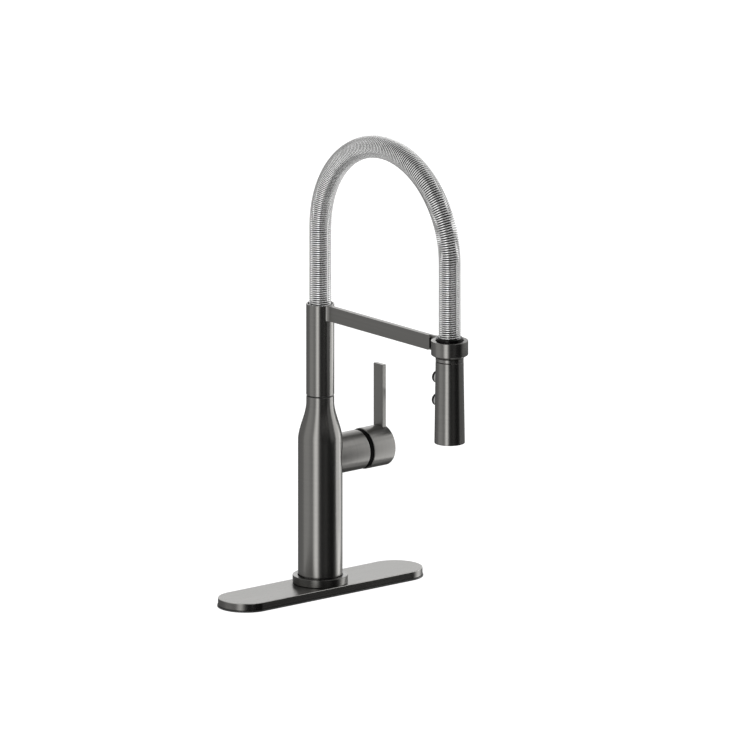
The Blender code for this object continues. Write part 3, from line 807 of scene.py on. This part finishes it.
def bar_outline(half, tube_r, ring_r):
    """One side of the arm seen from above, as (x, y), from the tube to the dock ring."""
    root_far = fillet_centre(tube_r, half, ROOT_FILLET)
    ring_far = fillet_centre(ring_r, half, RING_FILLET)
    root_turn = math.acos((half + ROOT_FILLET) / (tube_r + ROOT_FILLET))
    ring_turn = math.acos((half + RING_FILLET) / (ring_r + RING_FILLET))
    side = [(0.0, -tube_r * 0.6)]
    for i in range(13):
        turn = math.pi - root_turn * (1 - i / 12)
        side.append((
            half + ROOT_FILLET + ROOT_FILLET * math.cos(turn),
            -root_far + ROOT_FILLET * math.sin(turn),
        ))
    for i in range(21):
        turn = math.pi + ring_turn * i / 20
        side.append((
            half + RING_FILLET + RING_FILLET * math.cos(turn),
            ring_far - REACH + RING_FILLET * math.sin(turn),
        ))
    side.append((0.0, -REACH + ring_r * 0.3))
    return side


def make_support_arm():
    low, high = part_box("support_arm")
    tube_r = highest("spout_tube").x
    ring_r = high.x
    top = high.z
    under = top - ARM_DEPTH
    side = bar_outline(ARM_HALF, tube_r, ring_r - RING_SINK)
    outline = side + [(-x, y) for x, y in reversed(side[1:-1])]
    bm = bmesh.new()
    corners = [bm.verts.new((x, y, under)) for x, y in outline]
    floor_face = bm.faces.new(corners)
    raised = bmesh.ops.extrude_face_region(bm, geom=[floor_face])
    lifted = [item for item in raised["geom"] if isinstance(item, bmesh.types.BMVert)]
    bmesh.ops.translate(bm, vec=(0, 0, ARM_DEPTH), verts=lifted)
    close_up(bm)
    round_edges(
        bm, ARM_EDGE, 2, 60.0,
        where=lambda edge: abs(edge.verts[0].co.z - edge.verts[1].co.z) < HAIRLINE,
    )
    arm = piece_from(bm, "support_arm_bar")

    ring_bm = spun([
        (0.0, top),
        (ring_r, top),
        (ring_r, RING_TAPER_TOP),
        (RING_FOOT_R, low.z),
        (0.0, low.z),
    ])
    round_edges(ring_bm, ARM_EDGE, 3, 20.0)
    place_on_axis(ring_bm, "Z", HEAD_AXIS)
    neck_far = ring_r + NECK_LENGTH
    neck_end = neck_far - REACH
    beside = -ARM_HALF + NECK_SIDE_STEP
    guides = [
        box_cutter(
            (-CUT_HALF_WIDTH, -REACH, under - CUT_MARGIN), (beside, neck_end, top + CUT_MARGIN)
        ),
        box_cutter(
            (-CUT_HALF_WIDTH, -REACH, under - CUT_MARGIN),
            (CUT_HALF_WIDTH, neck_end, under + NECK_UNDER_STEP),
        ),
    ]
    for corner in (top, under):
        corner_bm = bmesh.new()
        bmesh.ops.create_cube(corner_bm, size=NECK_CORNER)
        turn_shape(corner_bm, 45, "X")
        bmesh.ops.translate(
            corner_bm, vec=(-ARM_HALF + ARM_EDGE, neck_end, corner), verts=corner_bm.verts
        )
        guides.append(cutter(corner_bm, "corner"))
    arm = carved(arm, guides, edge=ARM_EDGE)
    arm = carved(arm, [cutter(ring_bm, "ring_blank")], "UNION")
    clearance = round_cutter(tube_r + PLAY, low.z - CUT_MARGIN, top + CUT_MARGIN, "Z", POST)
    bore_bm = spun([
        (0.0, top + CUT_MARGIN),
        (RING_BORE, top + CUT_MARGIN),
        (RING_BORE, RING_LIP_TOP),
        (RING_LIP_BORE, RING_LIP_TOP),
        (RING_LIP_BORE, low.z - CUT_MARGIN),
        (0.0, low.z - CUT_MARGIN),
    ])
    place_on_axis(bore_bm, "Z", HEAD_AXIS)
    arm = carved(arm, [clearance, cutter(bore_bm, "ring_bore")], sharp=28.0)
    set_piece(arm, "spout", "dark_steel", ARM_STEEL, "support_arm")
    arm.data.materials.append(HEAD_STEEL)
    arm.data.materials.append(RECESS_SHADE_STEEL)
    for face in arm.data.polygons:
        from_head = face.center - HEAD_AXIS
        from_head.z = 0.0
        if from_head.length < ring_r + HAIRLINE:
            face.material_index = 1
        # The arm's end faces that look toward the dock ring get the near-black steel of painted shade.
        elif from_head.y < neck_far + 0.0006 and face.normal.y < -0.7:
            face.material_index = 2
    # The ring's bore gets the near-black material of painted shade.
    shade_inside(arm, RING_BORE + HAIRLINE, HEAD_AXIS)


def make_spout_tube():
    low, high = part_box("spout_tube")
    tube = turned(
        "spout_tube_turned",
        [(high.x, low.z), (high.x, high.z), (TUBE_BORE, high.z), (TUBE_BORE, low.z)],
        at=POST, edge=0.0004, segments=3,
    )
    set_piece(tube, "spout", "dark_steel", BODY_STEEL, "spout_tube")
    # The tube's bore gets the near-black material of painted shade.
    shade_inside(tube, TUBE_BORE + HAIRLINE, POST)


# ---------------------------------------------------------------- hose and coil


LEG_REAR = ARCH_CENTRE_Z - lowest("spring_rear").z
LEG_FRONT = ARCH_CENTRE_Z - lowest("spring_front").z


def route(distance):
    """The hose's centre and direction at a distance along it from the rear seat of the coil."""
    if distance < LEG_REAR:
        return Vector((0, 0, ARCH_CENTRE_Z - LEG_REAR + distance)), Vector((0, 0, 1))
    turn = (distance - LEG_REAR) / ARCH_R
    if turn < math.pi:
        centre = Vector((0, ARCH_R * math.cos(turn) - ARCH_R, ARCH_CENTRE_Z + ARCH_R * math.sin(turn)))
        return centre, Vector((0, -math.sin(turn), math.cos(turn)))
    down = distance - LEG_REAR - math.pi * ARCH_R
    return Vector((0, -REACH, ARCH_CENTRE_Z - down)), Vector((0, 0, -1))


SPLIT_AT = LEG_REAR + SPLIT_TURN * ARCH_R
COIL_END = LEG_REAR + math.pi * ARCH_R + LEG_FRONT


def swept(name, points, radius, roundness):
    """A mesh tube of that radius along the points."""
    curve = bpy.data.curves.new(name, "CURVE")
    curve.dimensions = "3D"
    curve.bevel_depth = radius
    curve.bevel_resolution = roundness
    curve.use_fill_caps = True
    curve.twist_mode = "MINIMUM"
    spline = curve.splines.new("POLY")
    spline.points.add(len(points) - 1)
    for point, place in zip(spline.points, points):
        point.co = (*place, 1.0)
    guide = placed(name + "_route", curve)
    mesh = evaluated_mesh(guide)
    bpy.data.objects.remove(guide)
    bm = bmesh_from(mesh)
    close_up(bm)
    return smooth_object(bm, name, 60.0)


def coil_points(start, end):
    count = int((end - start) / COIL_PITCH * COIL_STEPS)
    points = []
    for i in range(count + 1):
        distance = start + (end - start) * i / count
        centre, along = route(distance)
        across = Vector((1, 0, 0))
        outward = along.cross(across)
        turn = math.tau * distance / COIL_PITCH
        points.append(centre + COIL_R * (math.cos(turn) * across + math.sin(turn) * outward))
    return points


def hose_points(start, end, step):
    count = max(2, int((end - start) / step))
    return [route(start + (end - start) * i / count)[0] for i in range(count + 1)]


def make_arch():
    tuck = WIRE_R + COIL_TUCK
    rear = swept("coil_rear", coil_points(tuck, SPLIT_AT), WIRE_R, 2)
    set_piece(rear, "spout", "spring_steel", COIL_STEEL, "spring_rear")
    front = swept("coil_front", coil_points(SPLIT_AT + HAIRLINE, COIL_END - tuck), WIRE_R, 2)
    hose_r = middle("hose_front").x + highest("hose_front").x
    front_low = COIL_END - (lowest("hose_front").z - lowest("spring_front").z)
    hose = swept("hose_front_sleeve", hose_points(SPLIT_AT + PLAY, front_low, HOSE_STEP), hose_r, 6)
    hose.data.materials.append(SEAL_RUBBER)
    front.data.materials.append(COIL_STEEL)
    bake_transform(front)
    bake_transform(hose)
    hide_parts("spring_front")
    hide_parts("hose_front")


# ---------------------------------------------------------------- spray head


def make_hose_end():
    low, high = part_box("spring_cup")
    radius = high.x - HEAD_AXIS.x
    cup = turned(
        "spring_cup_turned",
        [
            (radius, high.z),
            (radius, low.z),
            (HOSE_BORE, low.z),
            (HOSE_BORE, CUP_FLOOR),
            (CUP_BORE, CUP_FLOOR),
            (CUP_BORE, high.z),
        ],
        at=HEAD_AXIS, edge=0.0008, segments=5,
    )
    # The cup gets the near-black steel of painted shade.
    set_piece(cup, "hose_end", "dark_steel", RECESS_SHADE_STEEL, "spring_cup")
    low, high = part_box("head_collar")
    radius = high.x - HEAD_AXIS.x
    collar = turned(
        "head_collar_turned",
        [(radius, high.z), (radius, low.z), (HOSE_BORE, low.z), (HOSE_BORE, high.z)],
        at=HEAD_AXIS, edge=0.0003,
    )
    set_piece(collar, "hose_end", "dark_steel", HEAD_STEEL, "head_collar")


def make_head_shell():
    low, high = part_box("head_shell")
    bm = spun([
        (HEAD_TOP_R, high.z),
        (HEAD_BOTTOM_R, low.z),
        (HEAD_BOTTOM_R - HEAD_WALL, low.z),
        (HEAD_TOP_R - HEAD_WALL, high.z - HEAD_TOP_WALL),
        (HOSE_BORE, high.z - HEAD_TOP_WALL),
        (HOSE_BORE, high.z),
    ])
    round_edges(bm, SOFT_EDGE, 3)
    place_on_axis(bm, "Z", HEAD_AXIS)
    shell = piece_from(bm, "head_shell_turned")
    holes = []
    for name in ("spray", "stream"):
        low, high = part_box(f"{name}_bezel")
        radius = (high.z - low.z) / 2
        at = (HEAD_AXIS.x, HEAD_AXIS.y, (low.z + high.z) / 2)
        holes.append(round_cutter(radius + PLAY, 0.0, 2 * HEAD_BOTTOM_R, "Y", at, SMALL_STEPS))
    shell = carved(shell, holes)
    set_piece(shell, "spray_head", "dark_steel", HEAD_STEEL, "head_shell")


def make_buttons():
    for name in ("spray", "stream"):
        low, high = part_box(f"{name}_bezel")
        radius = (high.z - low.z) / 2
        at = Vector((HEAD_AXIS.x, HEAD_AXIS.y, (low.z + high.z) / 2))
        near = low.y - HEAD_AXIS.y
        far = high.y - HEAD_AXIS.y
        low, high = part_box(f"{name}_button")
        button_r = (high.z - low.z) / 2
        crown = high.y - HEAD_AXIS.y
        root = low.y - HEAD_AXIS.y
        bezel = turned(
            f"{name}_bezel_ring",
            [
                (radius, near),
                (radius, far),
                (button_r + 0.0002, far),
                (button_r + 0.0002, near),
            ],
            "Y", at, SMALL_STEPS, 0.0003,
        )
        set_piece(bezel, "spray_head", "steel", BEZEL_STEEL, f"{name}_bezel")
        dome = []
        for i in range(DOME_RINGS + 1):
            lean = math.radians(90 * i / DOME_RINGS)
            dome.append((button_r * math.sin(lean), crown - DOME_RISE * (1 - math.cos(lean))))
        dome[0] = (0.0, crown)
        dome += [(button_r, root), (0.0, root)]
        button = turned(f"{name}_button_dome", dome, "Y", at, SMALL_STEPS, 0.0)
        set_piece(button, f"{name}_button", "black_rubber", BUTTON_RUBBER, f"{name}_button")


def make_spray_face():
    low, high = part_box("nozzle_plate")
    outer = high.x - HEAD_AXIS.x
    plate = turned(
        "nozzle_face_plate",
        [(outer, low.z), (outer, high.z), (FACE_BORE, high.z), (FACE_BORE, low.z)],
        at=HEAD_AXIS, edge=0.0003,
    )
    nub_low, nub_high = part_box("nozzle_mat")
    holes = bmesh.new()
    nubs = bmesh.new()
    nub_top = high.z + 0.0005
    for ring_r, count in NOZZLE_RINGS:
        for i in range(count):
            turn = math.tau * i / count
            spot = HEAD_AXIS + Vector((ring_r * math.cos(turn), ring_r * math.sin(turn), 0.0))
            at_hole = Matrix.Translation(spot + Vector((0, 0, (low.z + high.z) / 2)))
            bmesh.ops.create_cone(
                holes, cap_ends=True, segments=NOZZLE_SIDES, radius1=NOZZLE_HOLE_R,
                radius2=NOZZLE_HOLE_R, depth=0.006, matrix=at_hole,
            )
            at_nub = Matrix.Translation(spot + Vector((0, 0, (nub_low.z + nub_top) / 2)))
            bmesh.ops.create_cone(
                nubs, cap_ends=True, segments=NOZZLE_SIDES, radius1=NOZZLE_R * 0.75, radius2=NOZZLE_R,
                depth=nub_top - nub_low.z, matrix=at_nub,
            )
    tips = [
        face for face in nubs.faces
        if face.normal.z < -0.9 and face.calc_center_median().z < nub_low.z + HAIRLINE
    ]
    bmesh.ops.inset_individual(nubs, faces=tips, thickness=NOZZLE_WALL, depth=0.0)
    pierced = bmesh.ops.extrude_discrete_faces(nubs, faces=tips)["faces"]
    for face in pierced:
        bmesh.ops.translate(nubs, vec=(0, 0, NOZZLE_DEPTH), verts=face.verts)
    plate = carved(plate, [cutter(holes, "nozzle_holes")])
    set_piece(plate, "spray_head", "black_plastic", BLACK_PLASTIC, "nozzle_plate")
    mat_low = nub_high.z - MAT_THICKNESS
    mat = turned(
        "nozzle_soft_mat",
        [(MAT_R, mat_low), (MAT_R, nub_high.z), (MAT_BORE, nub_high.z), (MAT_BORE, mat_low)],
        at=HEAD_AXIS, edge=0.0002,
    )
    mat.modifiers.clear()
    joined = bmesh.new()
    joined.from_mesh(mat.data)
    spare = mesh_from(nubs, "nubs")
    joined.from_mesh(spare)
    bpy.data.meshes.remove(spare)
    bpy.data.objects.remove(mat)
    mat = piece_from(joined, "nozzle_soft_mat")
    set_piece(mat, "spray_head", "black_rubber", SEAL_RUBBER, "nozzle_mat")

    low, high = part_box("aerator")
    outer = high.x - HEAD_AXIS.x
    ring = turned(
        "aerator_ring",
        [
            (outer, high.z),
            (outer, low.z),
            (AERATOR_MOUTH_R, low.z),
            (AERATOR_MOUTH_R, low.z + AERATOR_RECESS),
            (AERATOR_BORE, low.z + AERATOR_RECESS),
            (AERATOR_BORE, high.z),
        ],
        at=HEAD_AXIS, edge=0.0002,
    )
    set_piece(ring, "spray_head", "grey_plastic", GREY_PLASTIC, "aerator")


# ---------------------------------------------------------------- studio


def studio_axes():
    right = Vector((math.cos(VIEW_TURN), -math.sin(VIEW_TURN), 0.0))
    level_back = Vector((-math.sin(VIEW_TURN), -math.cos(VIEW_TURN), 0.0))
    back = level_back * math.cos(VIEW_RISE) + Vector((0, 0, math.sin(VIEW_RISE)))
    return right, back.cross(right), back, level_back


def make_camera():
    right, up, back, _ = studio_axes()
    aim = right * AIM_RIGHT + up * AIM_UP + back * AIM_BACK
    camera = bpy.data.cameras.new("studio_camera")
    camera.type = "ORTHO"
    camera.ortho_scale = FRAME_WIDTH
    camera.clip_end = 100.0
    holder = placed("studio_camera", camera)
    turn = Matrix((right, up, back)).transposed().to_4x4()
    holder.matrix_world = Matrix.Translation(aim + back * CAMERA_DISTANCE) @ turn
    bpy.context.scene.camera = holder


def studio_paint(name, glow, grey=None):
    """Studio paint that gives its own light, over a matt grey where one is given."""
    paint = bpy.data.materials.new(name)
    nodes = NodeTree(paint)
    nodes.tree.nodes.clear()
    light = nodes.node("ShaderNodeEmission")
    light.inputs["Strength"].default_value = glow
    surface = light.outputs[0]
    if grey:
        matt = nodes.node("ShaderNodeBsdfDiffuse")
        matt.inputs["Color"].default_value = (grey, grey, grey, 1.0)
        both = nodes.node("ShaderNodeAddShader")
        nodes.link(matt.outputs[0], both.inputs[0])
        nodes.link(surface, both.inputs[1])
        surface = both.outputs[0]
    output = nodes.node("ShaderNodeOutputMaterial")
    nodes.link(surface, output.inputs["Surface"])
    return paint


def make_floor():
    bm = bmesh.new()
    bmesh.ops.create_grid(bm, x_segments=1, y_segments=1, size=FLOOR_SIZE / 2)
    bmesh.ops.translate(bm, vec=(0, 0, -FLOOR_GAP), verts=bm.verts)
    floor = placed("studio_floor", mesh_from(bm, "studio_floor"))
    floor.data.materials.append(studio_paint("pale_floor", FLOOR_GLOW, FLOOR_GREY))
    floor.visible_glossy = False


def studio_direction(turn, rise):
    """A direction by its degrees right of the camera and above the level."""
    right, _, _, level_back = studio_axes()
    turn, rise = math.radians(turn), math.radians(rise)
    level = level_back * math.cos(turn) + right * math.sin(turn)
    return level * math.cos(rise) + Vector((0, 0, math.sin(rise)))


def make_card(name, centre, toward, distance, size, brightness):
    """A studio card seen only in reflections, square on to the place it is set up for."""
    width, height = size
    bm = bmesh.new()
    bmesh.ops.create_grid(bm, x_segments=1, y_segments=1, size=0.5)
    bmesh.ops.scale(bm, vec=(width, height, 1.0), verts=bm.verts)
    turned_to = toward.to_track_quat("Z", "Y").to_matrix()
    bmesh.ops.rotate(bm, cent=(0, 0, 0), matrix=turned_to, verts=bm.verts)
    bmesh.ops.translate(bm, vec=centre + toward * distance, verts=bm.verts)
    card = placed(name, mesh_from(bm, name))
    card.data.materials.append(studio_paint(name + "_glow", brightness))
    card.visible_camera = False
    card.visible_diffuse = False
    card.visible_shadow = False


def make_cards():
    head_side = HEAD_AXIS + Vector((0, 0, 0.215))
    cap_top = BARREL_AXIS + Vector((0.079, -0.013, 0.016))
    arch_middle = Vector((0, -REACH / 2, 0.415))
    handle_side = BARREL_AXIS + Vector((0.075, 0, 0.016))
    make_card("head_shade", head_side, studio_direction(112, 0), 0.10, (0.13, 0.15), 0.30)
    make_card("cap_shade", cap_top, studio_direction(125, 49), 0.040, (0.030, 0.024), 0.0)
    make_card("coil_shade", arch_middle, studio_direction(112, 0), 0.12, (0.34, 0.22), 0.8)
    make_card("handle_light", handle_side, studio_direction(80.6, -14), 0.12, (0.09, 0.21), 1.9)


# Brightness round the faucet in bands of height: degrees right of the camera, brightness
FLOOR_BAND = (
    (-180, 0.10), (-130, 0.12), (-90, 0.50), (-32, 0.80), (-10, 0.60), (-3, 0.05), (5, 0.05),
    (14, 1.0), (56, 1.0), (74, 0.15), (86, 0.10), (100, 0.5), (118, 0.8), (142, 0.25), (180, 0.10),
)
LOW_BAND = (
    (-180, 0.22), (-150, 0.20), (-128, 0.36), (-114, 0.42), (-99, 0.52), (-90, 0.84), (-66, 0.85),
    (-56, 0.70), (-40, 0.58), (-33, 1.7), (-22, 2.7), (-14, 1.9), (-6, 0.35), (0, 0.16), (6, 0.08),
    (14, 0.04), (30, 0.09), (44, 0.02), (60, 0.01), (68, 0.015), (77, 0.04), (84, 0.16), (92, 0.65),
    (100, 1.6), (110, 3.1), (124, 2.8), (138, 1.0), (150, 0.35), (165, 0.12), (180, 0.22),
)
MIDDLE_BAND = (
    (-180, 1.7), (-166, 1.5), (-150, 0.40), (-112, 0.46), (-99, 0.52), (-90, 0.84), (-66, 0.85),
    (-56, 0.70), (-40, 0.58), (-33, 1.7), (-22, 2.7), (-14, 1.9), (-6, 0.35), (0, 0.14), (6, 0.05),
    (30, 0.05), (66, 0.02), (78, 0.12), (92, 0.7), (104, 1.8), (116, 2.4), (126, 2.2), (140, 1.2),
    (155, 0.9), (166, 1.4), (180, 1.7),
)
HIGH_BAND = (
    (-180, 0.7), (-160, 0.4), (-128, 0.12), (-110, 0.8), (-60, 1.2), (-20, 1.6), (-8, 0.3), (-3, 0.03),
    (6, 0.03), (13, 1.2), (60, 1.5), (84, 0.9), (100, 1.5), (116, 1.7), (126, 0.4), (134, 0.03),
    (152, 0.03), (164, 0.5), (180, 0.7),
)
ZENITH = 0.30

# How high one band gives way to the next, as the sine of the rise
FLOOR_TO_LOW = (-0.72, -0.56)
LOW_TO_MIDDLE = (-0.08, 0.10)
MIDDLE_TO_HIGH = (0.50, 0.64)
HIGH_TO_ZENITH = (0.88, 0.96)


class Sky(NodeTree):
    """The studio round the faucet, mixed from bands of brightness."""

    def share(self, direction, axis):
        """How far a direction goes along an axis."""
        dot = self.node("ShaderNodeVectorMath", operation="DOT_PRODUCT")
        dot.inputs[1].default_value = axis
        self.link(direction, dot.inputs[0])
        return dot.outputs["Value"]

    def round_share(self, direction, right, level_back):
        """How far round a direction is, from 0 to 1, with the camera at a half."""
        angle = self.node("ShaderNodeMath", operation="ARCTAN2")
        self.link(self.share(direction, right), angle.inputs[0])
        self.link(self.share(direction, level_back), angle.inputs[1])
        fraction = self.node("ShaderNodeMath", operation="MULTIPLY_ADD")
        self.link(angle.outputs[0], fraction.inputs[0])
        fraction.inputs[1].default_value = 1.0 / math.tau
        fraction.inputs[2].default_value = 0.5
        return fraction.outputs[0]

    def band(self, fraction, stops):
        ramp = self.node("ShaderNodeValToRGB")
        elements = ramp.color_ramp.elements
        while len(elements) < len(stops):
            elements.new(0.5)
        for i, (angle, _) in enumerate(stops):
            elements[i].position = (angle + 180.0) / 360.0
        for i, (_, bright) in enumerate(stops):
            elements[i].color = sky_tone(bright)
        self.link(fraction, ramp.inputs["Fac"])
        return ramp.outputs["Color"]

    def mixed(self, height, give_way, first, second):
        """One brightness giving way to the next over a stretch of height."""
        span = self.node("ShaderNodeMapRange", interpolation_type="SMOOTHSTEP")
        span.inputs["From Min"].default_value = give_way[0]
        span.inputs["From Max"].default_value = give_way[1]
        self.link(height, span.inputs["Value"])
        mix = self.node("ShaderNodeMix", data_type="RGBA")
        self.link(span.outputs["Result"], mix.inputs["Factor"])
        for name, value in (("A", first), ("B", second)):
            socket = [s for s in mix.inputs if s.name == name and s.type == "RGBA"][0]
            if isinstance(value, float):
                socket.default_value = sky_tone(value)
            else:
                self.link(value, socket)
        return [s for s in mix.outputs if s.type == "RGBA"][0]


def sky_tone(bright):
    tone = bright / SKY_STRENGTH
    return tone, tone, tone, 1.0


def make_sky():
    right, _, _, level_back = studio_axes()
    world = bpy.data.worlds.new("studio")
    bpy.context.scene.world = world
    sky = Sky(world)
    sky.tree.nodes.clear()
    direction = sky.node("ShaderNodeTexCoord").outputs["Generated"]
    fraction = sky.round_share(direction, right, level_back)
    height = sky.share(direction, (0, 0, 1))
    lower = sky.mixed(height, FLOOR_TO_LOW, sky.band(fraction, FLOOR_BAND), sky.band(fraction, LOW_BAND))
    upper = sky.mixed(
        height, MIDDLE_TO_HIGH, sky.band(fraction, MIDDLE_BAND), sky.band(fraction, HIGH_BAND)
    )
    around = sky.mixed(height, LOW_TO_MIDDLE, lower, upper)
    topped = sky.mixed(height, HIGH_TO_ZENITH, around, ZENITH)

    studio = sky.node("ShaderNodeBackground")
    studio.inputs["Strength"].default_value = SKY_STRENGTH
    sky.link(topped, studio.inputs["Color"])
    backdrop = sky.node("ShaderNodeBackground")
    backdrop.inputs["Color"].default_value = (1.0, 1.0, 1.0, 1.0)
    path = sky.node("ShaderNodeLightPath")
    seen = sky.node("ShaderNodeMixShader")
    sky.link(path.outputs["Is Camera Ray"], seen.inputs[0])
    sky.link(studio.outputs[0], seen.inputs[1])
    sky.link(backdrop.outputs[0], seen.inputs[2])
    output = sky.node("ShaderNodeOutputWorld")
    sky.link(seen.outputs[0], output.inputs["Surface"])
    bpy.context.scene.view_settings.view_transform = "Standard"


finish_packed_nodes()
make_camera()
make_floor()
make_cards()
make_sky()
make_deck_plate()
make_body()
make_handle()
make_spout_tube()
make_support_arm()
make_arch()
make_hose_end()
make_head_shell()
make_buttons()
make_spray_face()
